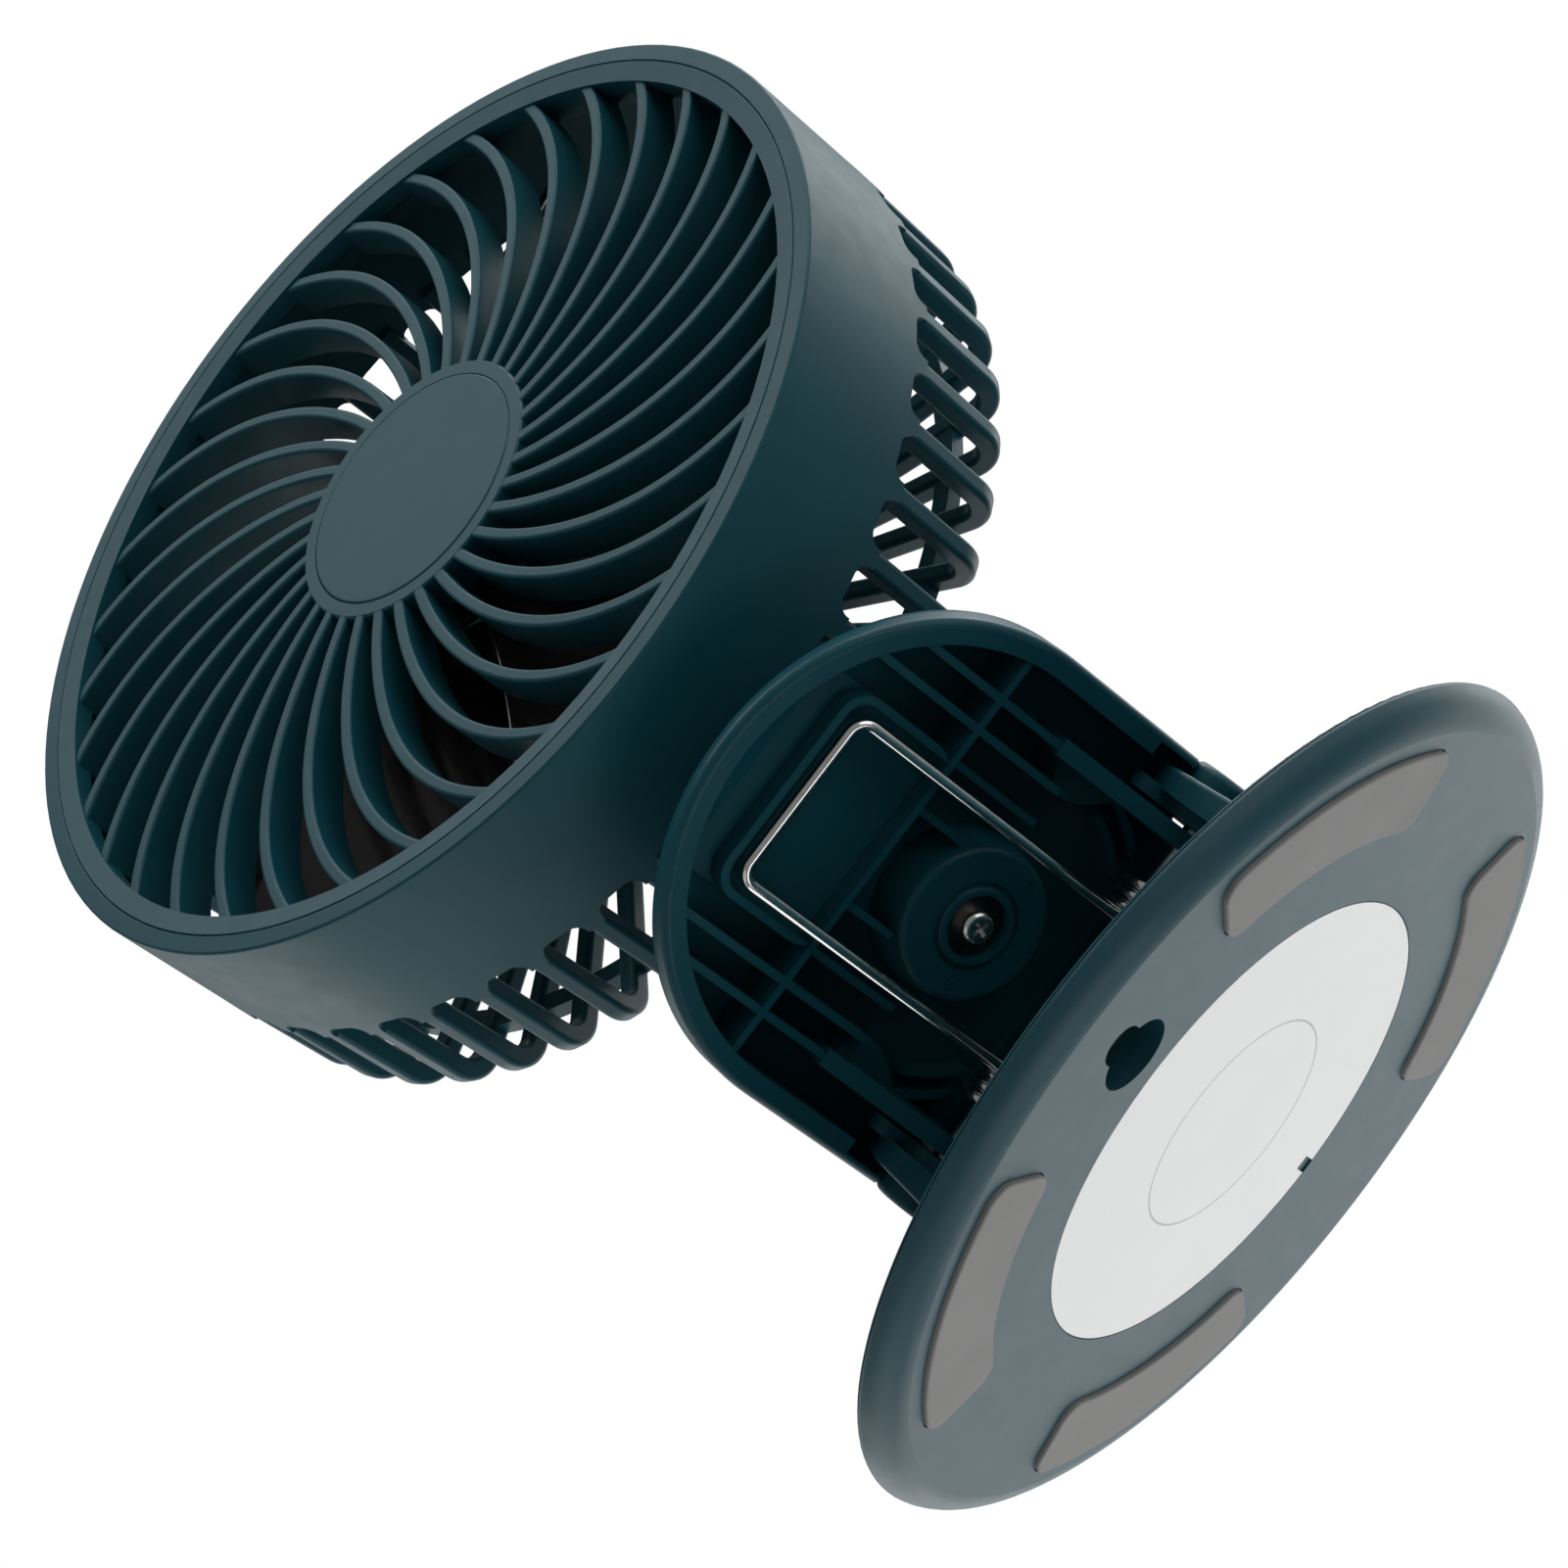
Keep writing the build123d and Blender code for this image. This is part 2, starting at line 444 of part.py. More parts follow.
bolt = lxcyl(2.48, -11.4, 13.6, SW_T, TILT_N) + lxcyl(5.0, -14.0, -11.4, SW_T, TILT_N)
bolt = fillet([e for e in bolt.edges() if abs(e.center().X + 14.0) < 0.05], 1.0)
save("tilt_bolt", LEVER * bolt)
nut = lxcyl(5.0, 11.4, 14.4, SW_T, TILT_N) - lxcyl(2.48, 11.0, 13.65, SW_T, TILT_N)
nut = fillet([e for e in nut.edges() if abs(e.center().X - 14.4) < 0.05], 1.0)
save("tilt_nut", LEVER * nut)

# ================================================================= fan head (local axes: x, up, -depth)
pu, pd = head_of(*yz_of(SW_T, TILT_N))      # tilt pivot seen from the head
print("tilt pivot up %.2f depth %.2f" % (pu, pd), "yz", [round(v, 3) for v in yz_of(SW_T, TILT_N)])


def ring_rd(points):
    """Solid of revolution about the fan axis from (radius, depth) points."""
    face = make_face(Polyline([(r, 0, -d) for r, d in points], close=True))
    return revolve(face, axis=Axis.Z, revolution_arc=360)


def rd_face(edges):
    return make_face(edges)


# shell: lip and tapered band, 45 bars that turn inward at the rear, inboard ring and hub plate
P = lambda r, d: (r, 0, -d)
BAND_END = D_SLOT + 2.8
LIPR = 0.45
prof = [Line(P(R_PART + 0.1, 3.4), P(R_PART + 0.1, D_PART + 0.12)), Line(P(R_PART + 0.1, D_PART + 0.12), P(R_PART + 0.22, D_PART)),
        Line(P(R_PART + 0.22, D_PART), P(R_LIP - LIPR, D_PART + 0.05)),
        ThreePointArc(P(R_LIP - LIPR, D_PART + 0.05), P(R_LIP - 0.13, D_PART + 0.18), P(R_LIP, D_PART + 0.05 + LIPR)),
        Line(P(R_LIP, D_PART + 0.05 + LIPR), P(R_SLOT - 0.02, BAND_END)), Line(P(R_SLOT - 0.02, BAND_END), P(R_SLOT - 2.9, BAND_END)),
        Line(P(R_SLOT - 2.9, BAND_END), P(R_PART + 0.75, 8.6)), Line(P(R_PART + 0.75, 8.6), P(R_PART + 0.75, 3.4)), Line(P(R_PART + 0.75, 3.4), P(R_PART + 0.1, 3.4))]
shell_h = revolve(make_face(prof), axis=Axis.Z, revolution_arc=360)
STEP = 360.0 / N_BAR
SLOT_W = 2 * R_SLOT * sin(radians(STEP / 2)) - BAR_W


def slot_tool():
    """Rounded notch at the rear edge of the band, cut from outside, centred on +X."""
    face = make_face(Polyline([(0, -SLOT_W / 2, -D_SLOT), (0, SLOT_W / 2, -D_SLOT), (0, SLOT_W / 2, -60), (0, -SLOT_W / 2, -60)], close=True))
    front = [v for v in face.vertices() if abs(v.Z + D_SLOT) < 0.01]
    face = fillet(front, 2.3)
    return Pos(74.4, 0, 0) * extrude(face, amount=14, dir=(1, 0, 0))


tool = slot_tool()
shell_h = shell_h - [Rot(0, 0, -90 + STEP / 2 + k * STEP) * tool for k in range(N_BAR)]
half = BAR_D / 2
bar_path = FilletPolyline((R_SLOT - 0.12 - half, 0, -(D_SLOT - 2.5)), (R_REAR - half, 0, -(D_REAR - half)), (R_HUBPLATE - 1.2, 0, -(D_REAR - half)), radius=R_CORNER - half)
bar = sweep(Plane(origin=bar_path @ 0, x_dir=(0, 1, 0), z_dir=bar_path % 0) * RectangleRounded(BAR_W, BAR_D, 0.85), path=bar_path)
bars45 = [Rot(0, 0, -90 + k * STEP) * bar for k in range(N_BAR)]     # a bar lies at the lowest point
rear_ring = ring_rd([(RING_R0, D_REAR - 0.5), (RING_R0 + 0.5, D_REAR - 0.1), (RING_R1 - 0.5, D_REAR - 0.1), (RING_R1, D_REAR - 0.5), (RING_R1, D_REAR - 3.3), (RING_R0, D_REAR - 3.3)])
hub_plate = ring_rd([(3.4, D_REAR), (R_HUBPLATE - 0.6, D_REAR), (R_HUBPLATE, D_REAR - 0.6), (R_HUBPLATE, D_REAR - BAR_D - 0.2), (R_HUBPLATE - 3.4, D_REAR - BAR_D - 0.2),
                     (R_HUBPLATE - 3.4, D_REAR - 2.6), (3.4, D_REAR - 2.6)])
shell_h = shell_h + bars45
shell_h = shell_h + rear_ring + hub_plate
MS = [(9.0 * cos(radians(a)), 9.0 * sin(radians(a))) for a in (90, 210, 330)]
CS = [(22.0 * cos(radians(a)), 22.0 * sin(radians(a))) for a in (55, 125, 235, 305)]
shell_h = shell_h - [cyl(1.35, -60, 0, x, y) for x, y in MS + CS]
save("fan_housing", HEAD * shell_h)

# front grille: ring, swirl ribs, hub ring
ring = ring_rd([(R_RING, 0.0), (R_PART - 0.17, D_PART), (R_PART - 0.05, D_PART + 0.12), (R_PART - 0.05, 3.5), (R_PART + 0.6, 3.5), (R_PART + 0.6, 7.6), (R_RING + 1.4, 7.6), (R_RING + 1.4, 4.0), (R_RING, 3.4)])
hubr = ring_rd([(R_CAPDISC + 0.15, 0.35), (R_CAP - 0.3, 0.35), (R_CAP, 0.65), (R_CAP, 6.6), (R_CAPDISC + 0.15, 6.6)])
hubr = hubr + cyl(R_CAPDISC + 0.3, -6.6, -2.6)


def swirl_at(r):
    for (r0, a0), (r1, a1) in zip(SWIRL, SWIRL[1:]):
        if r <= r1:
            return a0 + (a1 - a0) * (r - r0) / (r1 - r0)
    return SWIRL[-1][1]


def rib_face():
    pts = [(r * cos(radians(a)), r * sin(radians(a))) for r, a in SWIRL]
    left, right = [], []
    for i, (x, y) in enumerate(pts):
        x0, y0 = pts[max(i - 1, 0)]
        x1, y1 = pts[min(i + 1, len(pts) - 1)]
        L = hypot(x1 - x0, y1 - y0)
        nx, ny = -(y1 - y0) / L, (x1 - x0) / L
        left.append((x + nx * RIB_W / 2, y + ny * RIB_W / 2))
        right.append((x - nx * RIB_W / 2, y - ny * RIB_W / 2))
    a, b = Spline(left), Spline(right)
    return make_face([a, Line(a @ 1, b @ 1), b, Line(b @ 0, a @ 0)])


rib = extrude(rib_face(), amount=RIB_DEPTH, dir=(0, 0, -1))
rib = Pos(0, 0, -0.4) * rib
long_edges = [e for e in rib.edges() if abs(e.center().Z + 0.4) < 0.01 and e.length > 30]
try:
    rib = fillet(long_edges, 0.5)
except Exception as err:
    print("rib fillet skipped", err)
    rib = chamfer(long_edges, 0.35)
ribs34 = [Rot(0, 0, k * 360.0 / N_RIB) * rib for k in range(N_RIB)]
grille = ring + hubr
grille = grille + ribs34
save("front_grille", HEAD * grille)
cap = cyl(R_CAPDISC, -2.5, -0.2)
cap = fillet(cap.edges().filter_by(GeomType.CIRCLE).filter_by_position(Axis.Z, -0.21, -0.19), 0.35)
save("grille_cap", HEAD * cap)

# impeller with twisted blades on the motor shaft
IMP0, IMP1 = 10.5, 36.0      # depth range of the hub
hub = cyl(R_HUB, -IMP1, -IMP0)
hub = fillet(hub.edges().filter_by(GeomType.CIRCLE).filter_by_position(Axis.Z, -IMP0 - 0.01, -IMP0 + 0.01), 3.5)
hub = hub - cyl(R_HUB - 2.0, -IMP1 - 1, -IMP0 - 2.4)
hub = hub + cyl(4.5, -IMP1 + 1.5, -IMP0 - 2.0)
mid = -20.5                  # depth of the middle of the blades


def blade():
    secs = []
    for r, pitch, chord, th, sweep_a in ((R_HUB - 1.2, -44, 25, 2.2, 0), (34, -38, 32, 1.9, -2), (50, -30, 39, 1.7, -5), (64, -24, 42, 1.5, -9), (R_IMP, -21, 36, 1.3, -13)):
        pl = Plane(origin=(r * cos(radians(sweep_a)), r * sin(radians(sweep_a)), mid), x_dir=(-sin(radians(sweep_a)), cos(radians(sweep_a)), 0), z_dir=(cos(radians(sweep_a)), sin(radians(sweep_a)), 0))
        sk = Rot(0, 0, pitch) * RectangleRounded(chord, th, th * 0.45)
        secs.append(pl * sk)
    return loft(secs)


one = blade()
blades = [Rot(0, 0, 15.5 + k * 360.0 / N_BLADE) * one for k in range(N_BLADE)]
bad = cyl(R_HUB - 2.0, -IMP1 - 1, -IMP0 - 2.4)
imp = hub
for b in blades:
    imp = imp + (b - cyl(R_HUB - 1.8, -60, 10))
imp = imp - cyl(SHAFT_R, -60, -IMP0 - 3.2)
save("impeller", HEAD * imp)
shaft = cyl(SHAFT_R, -(D_REAR + 11.5), -IMP0 - 3.3)
save("motor_shaft", HEAD * shaft)

# motor behind the hub plate
M0, M1 = D_REAR + 0.15, D_REAR + 11.2
can = cyl(13.5, -M1, -M0)
can = fillet(can.edges().filter_by(GeomType.CIRCLE), 1.2)
can = can - cyl(4.0, -M1 - 1, -M1 + 2.2) - cyl(4.0, -M0 - 2.2, -M0 + 1) - cyl(2.2, -M1 - 1, -M0 + 1)
can = can - [cyl(1.28, -M0 - 4.2, -M0 + 1, x, y) for x, y in MS]
save("motor_can", HEAD * can)
bush = [cyl(4.0, -M0 - 2.2, -M0 + 1.4) - cyl(SHAFT_R + 0.03, -80, 0), cyl(4.0, -M1, -M1 + 2.2) - cyl(SHAFT_R + 0.03, -80, 0)]
bush[0] = (cyl(4.0, -M0 - 2.2, -M0) + cyl(3.2, -M0 - 0.1, -M0 + 1.6)) - cyl(SHAFT_R + 0.03, -80, 0)
save("motor_bushes", HEAD * Compound(children=[q for p in bush for q in p.solids()]), many=True)
msc = [cyl(1.26, -M0 - 4.0, -D_REAR + 2.6, x, y) + cyl(2.3, -D_REAR + 2.6, -D_REAR + 4.0, x, y) for x, y in MS]
save("motor_screws", HEAD * Compound(children=[q for p in msc for q in p.solids()]), many=True)

# rear cover over the motor
RC0, RC1 = D_REAR + 0.0, D_REAR + 14.0
R_COVER = 25.6
PORT_D = 54.8          # depth of the socket's middle
BTN_X, BTN_R = -18.0, 3.5
LEDS = [(18.3 * cos(radians(a)), 18.3 * sin(radians(a))) for a in (-12, 0, 12)]
cov = cyl(R_COVER, -RC1, -RC0)
cov = fillet(cov.edges().filter_by(GeomType.CIRCLE).filter_by_position(Axis.Z, -RC1 - 0.01, -RC1 + 0.01), 4.0)
cav = cyl(R_COVER - 2.0, -RC1 + 2.2, -RC0 + 1)
cav = fillet(cav.edges().filter_by(GeomType.CIRCLE).filter_by_position(Axis.Z, -RC1 + 2.19, -RC1 + 2.21), 2.4)
cov = cov - cav
cov = cov + [cyl(2.7, -RC1 + 2.0, -RC0, x * 0.99, y * 0.99) for x, y in CS]
cov = cov - [cyl(1.28, -RC1 + 3.5, -RC0 + 1, x, y) for x, y in CS]
AS = [(-4.6, 10.5), (4.6, 10.5), (-4.6, -12.0), (4.6, -12.0)]
cov = cov - [cyl(1.28, -RC1 - 1, -RC1 + 3, x, y) for x, y in AS]
port_cut = fillet((Pos(0, -R_COVER, -PORT_D) * Box(9.4, 8, 3.7)).edges().filter_by(Axis.Y), 1.8)
cov = cov - port_cut - cyl(BTN_R + 0.15, -RC1 - 1, -RC1 + 3, BTN_X, 0) - [cyl(1.05, -RC1 - 1, -RC1 + 3, x, y) for x, y in LEDS]
# posts that hold the board
cov = cov + [cyl(1.6, -RC1 + 2.0, -53.25, x, y) for x, y in ((-15.8, -13.8), (15.8, -13.8))]
save("rear_cover", HEAD * cov)
csc = [cyl(1.26, -RC1 + 3.8, -D_REAR + 2.6, x, y) + cyl(2.3, -D_REAR + 2.6, -D_REAR + 4.0, x, y) for x, y in CS]
save("cover_screws", HEAD * Compound(children=[q for p in csc for q in p.solids()]), many=True)

# circuit board round the motor, with the charging socket, the switch and the indicator lenses
board = (cyl(22.9, -53.2, -52.0) - cyl(14.6, -60, 0)) & box(-30, 30, -30, 6.0, -60, 0)
board = board - [cyl(3.0, -60, 0, x, y) for x, y in CS]
board = board - box(-5.2, 5.2, -30, -22.0, -60, 0)
save("control_board", HEAD * single(board))
socket = fillet((Pos(0, -20.6, -PORT_D) * Box(8.9, 7.3, 3.16)).edges().filter_by(Axis.Y), 1.55)
socket = socket - fillet((Pos(0, -22.6, -PORT_D) * Box(8.2, 6.6, 2.5)).edges().filter_by(Axis.Y), 1.2)
socket = socket + (Pos(0, -20.8, -PORT_D) * Box(6.6, 5.4, 0.7))
save("usb_socket", HEAD * socket)
switch = box(BTN_X - 2.9, BTN_X + 2.9, -2.9, 2.9, -56.6, -53.2) + cyl(1.5, -57.4, -56.5, BTN_X, 0)
save("tact_switch", HEAD * switch)
lens = [cyl(1.0, -RC1 - 0.12, -53.25, x, y) for x, y in LEDS]
save("indicator_lenses", HEAD * Compound(children=[q for p in lens for q in p.solids()]), many=True)
button = cyl(BTN_R, -RC1 - 1.4, -61.6, BTN_X, 0)
button = fillet(button.edges().filter_by(GeomType.CIRCLE).filter_by_position(Axis.Z, -RC1 - 1.41, -RC1 - 1.39), 0.7)
button = button + cyl(BTN_R + 0.6, -62.3, -61.4, BTN_X, 0) + cyl(1.5, -61.8, -58.6, BTN_X, 0)
save("power_button", HEAD * button)

# arm from the rear cover down to the tilt pivot
A0, A1 = RC1 + 0.0, RC1 + 6.6
arm = fillet(box(-8.4, 8.4, pu, 17.5, -A1, -A0).edges().filter_by(Axis.Z).filter_by_position(Axis.Y, 17.4, 17.6), 5.0)
knuckle = Pos(0, pu, -pd) * (Rot(0, 90, 0) * Cylinder(8.4, 13.8))
lower_arm = box(-6.9, 6.9, pu, pu + 17.0, -A1, -pd + 5.0)
arm = arm - box(-20, 20, pu - 20, pu + 13.5, -A1 - 10, 0)
arm = arm + knuckle + lower_arm
arm = arm - (Pos(0, pu, -pd) * (Rot(0, 90, 0) * Cylinder(2.53, 40)))
arm = arm - [cyl(1.3, -A1 - 1, -A0 + 1, x, y) for x, y in AS] - [cyl(2.6, -A1 - 1, -A1 + 1.8, x, y) for x, y in AS]
try:
    back = [e for e in arm.edges() if abs(e.center().Z + A1) < 0.02 and e.length > 20]
    arm = fillet(back, 1.5)
except Exception as err:
    print("arm fillet skipped", err)
save("tilt_arm", HEAD * arm)
asc = [cyl(2.4, -A1 + 0.3, -A1 + 1.75, x, y) + cyl(1.26, -A1 + 1.7, -RC1 + 2.6, x, y) for x, y in AS]
save("arm_screws", HEAD * Compound(children=[q for p in asc for q in p.solids()]), many=True)

for k, v in sorted(VOLS.items()):
    print("%-20s %9.0f mm3" % (k, v))
print(len(VOLS), "nodes")
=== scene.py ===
"""Clip fan: finish, wire spring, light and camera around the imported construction.

Row frame, metres: +Z up, origin under the centre of the base in the plane of its pads.
"""
import bpy
from math import sin, cos, tan, radians, pi, sqrt, hypot, atan2
from mathutils import Vector, Matrix


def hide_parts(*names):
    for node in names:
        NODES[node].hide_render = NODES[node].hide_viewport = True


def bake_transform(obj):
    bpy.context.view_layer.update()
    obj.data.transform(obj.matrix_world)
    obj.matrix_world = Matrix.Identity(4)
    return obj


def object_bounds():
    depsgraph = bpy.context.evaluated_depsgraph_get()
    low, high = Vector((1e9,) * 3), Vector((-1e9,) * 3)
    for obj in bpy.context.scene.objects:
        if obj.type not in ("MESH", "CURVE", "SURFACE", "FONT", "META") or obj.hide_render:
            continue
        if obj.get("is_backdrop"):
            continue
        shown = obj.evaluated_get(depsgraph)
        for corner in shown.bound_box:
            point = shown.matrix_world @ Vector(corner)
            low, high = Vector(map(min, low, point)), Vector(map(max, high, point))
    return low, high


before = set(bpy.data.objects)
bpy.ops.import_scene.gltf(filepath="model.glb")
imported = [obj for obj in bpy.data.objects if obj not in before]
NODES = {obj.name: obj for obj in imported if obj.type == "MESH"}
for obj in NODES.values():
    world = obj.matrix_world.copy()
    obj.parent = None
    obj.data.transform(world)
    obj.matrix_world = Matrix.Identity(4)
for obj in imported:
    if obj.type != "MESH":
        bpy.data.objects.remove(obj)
start_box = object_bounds()
MM = 0.001


def plain(v):
    """Vectors and tuples as plain lists of numbers."""
    try:
        return [plain(x) for x in v]
    except TypeError:
        return float(v)


# ------------------------------------------------------------ geometry shared with the construction
LIFT = 0.8
HY, HZ = -5.0, 31.0 + LIFT
ALPHA = radians(31.5)
PHI = radians(28.7)
CY, CZ = -24.9, 165.6 + LIFT


def lever_pt(x, t, n):
    """Point given in the lever's own axes, in metres in the row frame."""
    return Vector((x, HY - t * cos(ALPHA) + n * sin(ALPHA), HZ + t * sin(ALPHA) + n * cos(ALPHA))) * MM


# ------------------------------------------------------------ materials


def principled(name):
    m = bpy.data.materials.new(name)
    m.use_nodes = True
    nt = m.node_tree
    nt.nodes.clear()
    out = nt.nodes.new("ShaderNodeOutputMaterial")
    b = nt.nodes.new("ShaderNodeBsdfPrincipled")
    nt.links.new(b.outputs[0], out.inputs["Surface"])
    return m, nt, b


def node(nt, kind, **kw):
    n = nt.nodes.new(kind)
    for k, v in kw.items():
        setattr(n, k, v)
    return n


def noise(nt, vec, scale, detail=3.0, rough=0.55):
    n = node(nt, "ShaderNodeTexNoise")
    n.inputs["Scale"].default_value = scale
    n.inputs["Detail"].default_value = detail
    n.inputs["Roughness"].default_value = rough
    nt.links.new(vec, n.inputs["Vector"])
    return n


def ramp(nt, fac, stops):
    r = node(nt, "ShaderNodeValToRGB")
    els = r.color_ramp.elements
    while len(els) < len(stops):
        els.new(0.5)
    for e, (p, c) in zip(els, stops):
        e.position = p
        e.color = (c[0], c[1], c[2], 1.0)
    nt.links.new(fac, r.inputs[0])
    return r


def maprange(nt, val, a, b, c, d):
    m = node(nt, "ShaderNodeMapRange")
    m.inputs["From Min"].default_value = a
    m.inputs["From Max"].default_value = b
    m.inputs["To Min"].default_value = c
    m.inputs["To Max"].default_value = d
    nt.links.new(val, m.inputs["Value"])
    return m


def bump(nt, b, height, strength, dist):
    n = node(nt, "ShaderNodeBump")
    n.inputs["Strength"].default_value = strength
    n.inputs["Distance"].default_value = dist
    nt.links.new(height, n.inputs["Height"])
    nt.links.new(n.outputs[0], b.inputs["Normal"])
    return n


def moulded(name, dark, light, r0, r1, spec=0.5, grain=2600.0, depth=0.00003, strength=0.35, edge_highlight=None):
    """Moulded plastic: faint tone drift, fine spark-eroded grain, uneven sheen, and a painted highlight colour on
    convex edges when one is given.
    """
    m, nt, b = principled(name)
    co = node(nt, "ShaderNodeTexCoord")
    vec = co.outputs["Object"]
    broad = noise(nt, vec, 28.0, 3.0)
    fine = noise(nt, vec, grain, 2.0)
    col = ramp(nt, broad.outputs["Fac"], [(0.3, dark), (0.7, light)])
    # painted highlight: convex edges, picked out by pointiness, take the given lighter colour
    if edge_highlight:
        geo = node(nt, "ShaderNodeNewGeometry")
        edge_highlight_mask = ramp(nt, geo.outputs["Pointiness"], [(0.50, (0, 0, 0)), (0.56, (1, 1, 1))])
        mix = node(nt, "ShaderNodeMix", data_type="RGBA")
        nt.links.new(edge_highlight_mask.outputs[0], mix.inputs["Factor"])
        nt.links.new(col.outputs[0], mix.inputs["A"])
        mix.inputs["B"].default_value = (*edge_highlight, 1.0)
        nt.links.new(mix.outputs["Result"], b.inputs["Base Color"])
    else:
        nt.links.new(col.outputs[0], b.inputs["Base Color"])
    mid = noise(nt, vec, 210.0, 4.0)
    rg = maprange(nt, mid.outputs["Fac"], 0.3, 0.7, r0, r1)
    nt.links.new(rg.outputs[0], b.inputs["Roughness"])
    b.inputs["Specular IOR Level"].default_value = spec
    bump(nt, b, fine.outputs["Fac"], strength, depth)
    return m


def metal(name, base, rough, scale=(1, 1, 1), line=900.0, var=0.08, strength=0.1):
    m, nt, b = principled(name)
    co = node(nt, "ShaderNodeTexCoord")
    mp = node(nt, "ShaderNodeMapping")
    mp.inputs["Scale"].default_value = scale
    nt.links.new(co.outputs["Object"], mp.inputs["Vector"])
    n1 = noise(nt, mp.outputs[0], line, 4.0)
    lo = tuple(c * (1 - var) for c in base)
    hi = tuple(min(1.0, c * (1 + var)) for c in base)
    col = ramp(nt, n1.outputs["Fac"], [(0.3, lo), (0.7, hi)])
    nt.links.new(col.outputs[0], b.inputs["Base Color"])
    b.inputs["Metallic"].default_value = 1.0
    rg = maprange(nt, n1.outputs["Fac"], 0.3, 0.7, rough * 0.8, rough * 1.25)
    nt.links.new(rg.outputs[0], b.inputs["Roughness"])
    bump(nt, b, n1.outputs["Fac"], strength, 0.00001)
    return m


TEAL_D = (0.0042, 0.0560, 0.0750)
TEAL_L = (0.0052, 0.0610, 0.0815)
teal = moulded("teal_moulded", TEAL_D, TEAL_L, 0.38, 0.45, spec=0.19)
teal_in = moulded("teal_inner", TEAL_D, TEAL_L, 0.34, 0.41, spec=0.19)
# underside: the same teal plastic with its colour shifted greyer, a painted sheen of the pale light from below
under = moulded("teal_underside_painted_sheen", (0.0062, 0.0525, 0.0720), (0.0066, 0.0540, 0.0740), 0.45, 0.48, spec=0.33)
black = moulded("black_moulded", (0.010, 0.010, 0.010), (0.014, 0.014, 0.014), 0.40, 0.50)
blade = moulded("blade_gloss", (0.010, 0.0075, 0.0070), (0.014, 0.0105, 0.0095), 0.12, 0.20, grain=400.0, depth=0.00002, strength=0.1)
lens = moulded("frosted_lens", (0.60, 0.66, 0.70), (0.66, 0.72, 0.75), 0.30, 0.38)

# soft grey rubber of the pads
rubber, nt, b = principled("pad_rubber")
co = node(nt, "ShaderNodeTexCoord")
nb = noise(nt, co.outputs["Object"], 60.0, 4.0)
nf = noise(nt, co.outputs["Object"], 3200.0, 3.0, 0.7)
col = ramp(nt, nb.outputs["Fac"], [(0.3, (0.224, 0.222, 0.220)), (0.7, (0.246, 0.243, 0.241))])
nt.links.new(col.outputs[0], b.inputs["Base Color"])
rg = maprange(nt, nf.outputs["Fac"], 0.3, 0.7, 0.72, 0.88)
nt.links.new(rg.outputs[0], b.inputs["Roughness"])
b.inputs["Specular IOR Level"].default_value = 0.35
bump(nt, b, nf.outputs["Fac"], 0.5, 0.00004)

# white film label with one thin printed circle
label, nt, b = principled("label_film")
co = node(nt, "ShaderNodeTexCoord")
sep = node(nt, "ShaderNodeSeparateXYZ")
nt.links.new(co.outputs["Object"], sep.inputs[0])
cmb = node(nt, "ShaderNodeCombineXYZ")
nt.links.new(sep.outputs["X"], cmb.inputs["X"])
nt.links.new(sep.outputs["Y"], cmb.inputs["Y"])
ln = node(nt, "ShaderNodeVectorMath", operation="LENGTH")
nt.links.new(cmb.outputs[0], ln.inputs[0])
d1 = node(nt, "ShaderNodeMath", operation="SUBTRACT")
nt.links.new(ln.outputs["Value"], d1.inputs[0])
d1.inputs[1].default_value = 0.0186
d2 = node(nt, "ShaderNodeMath", operation="ABSOLUTE")
nt.links.new(d1.outputs[0], d2.inputs[0])
line = maprange(nt, d2.outputs[0], 0.00010, 0.00022, 1.0, 0.0)
nb = noise(nt, co.outputs["Object"], 45.0, 3.0)
paper = ramp(nt, nb.outputs["Fac"], [(0.3, (0.785, 0.790, 0.795)), (0.7, (0.800, 0.805, 0.810))])
mix = node(nt, "ShaderNodeMix", data_type="RGBA")
nt.links.new(line.outputs[0], mix.inputs["Factor"])
nt.links.new(paper.outputs[0], mix.inputs["A"])
mix.inputs["B"].default_value = (0.42, 0.43, 0.44, 1.0)
nt.links.new(mix.outputs["Result"], b.inputs["Base Color"])
nf = noise(nt, co.outputs["Object"], 900.0, 3.0)
rg = maprange(nt, nf.outputs["Fac"], 0.3, 0.7, 0.42, 0.52)
nt.links.new(rg.outputs[0], b.inputs["Roughness"])
bump(nt, b, nf.outputs["Fac"], 0.15, 0.00002)

chrome = metal("spring_wire_bright", (0.78, 0.765, 0.745), 0.14, (1, 1, 1), 700.0, 0.08, 0.06)
steel = metal("screw_zinc", (0.74, 0.73, 0.71), 0.22, (1, 1, 1), 1300.0, 0.10, 0.12)
pin_steel = metal("pin_ground_steel", (0.50, 0.50, 0.50), 0.30, (1, 30, 30), 60.0, 0.10, 0.10)
dark_steel = metal("washer_oiled", (0.125, 0.112, 0.105), 0.34, (1, 1, 1), 1500.0, 0.20, 0.20)
can = metal("motor_can_plated", (0.55, 0.55, 0.56), 0.30, (1, 1, 6), 120.0, 0.10, 0.10)
foil = metal("battery_foil", (0.66, 0.67, 0.69), 0.38, (1, 1, 1), 160.0, 0.06, 0.30)
bronze = metal("bush_bronze", (0.50, 0.34, 0.15), 0.45, (1, 1, 1), 2200.0, 0.15, 0.30)
board = moulded("board_mask", (0.006, 0.060, 0.024), (0.010, 0.080, 0.034), 0.25, 0.35, grain=1200.0)

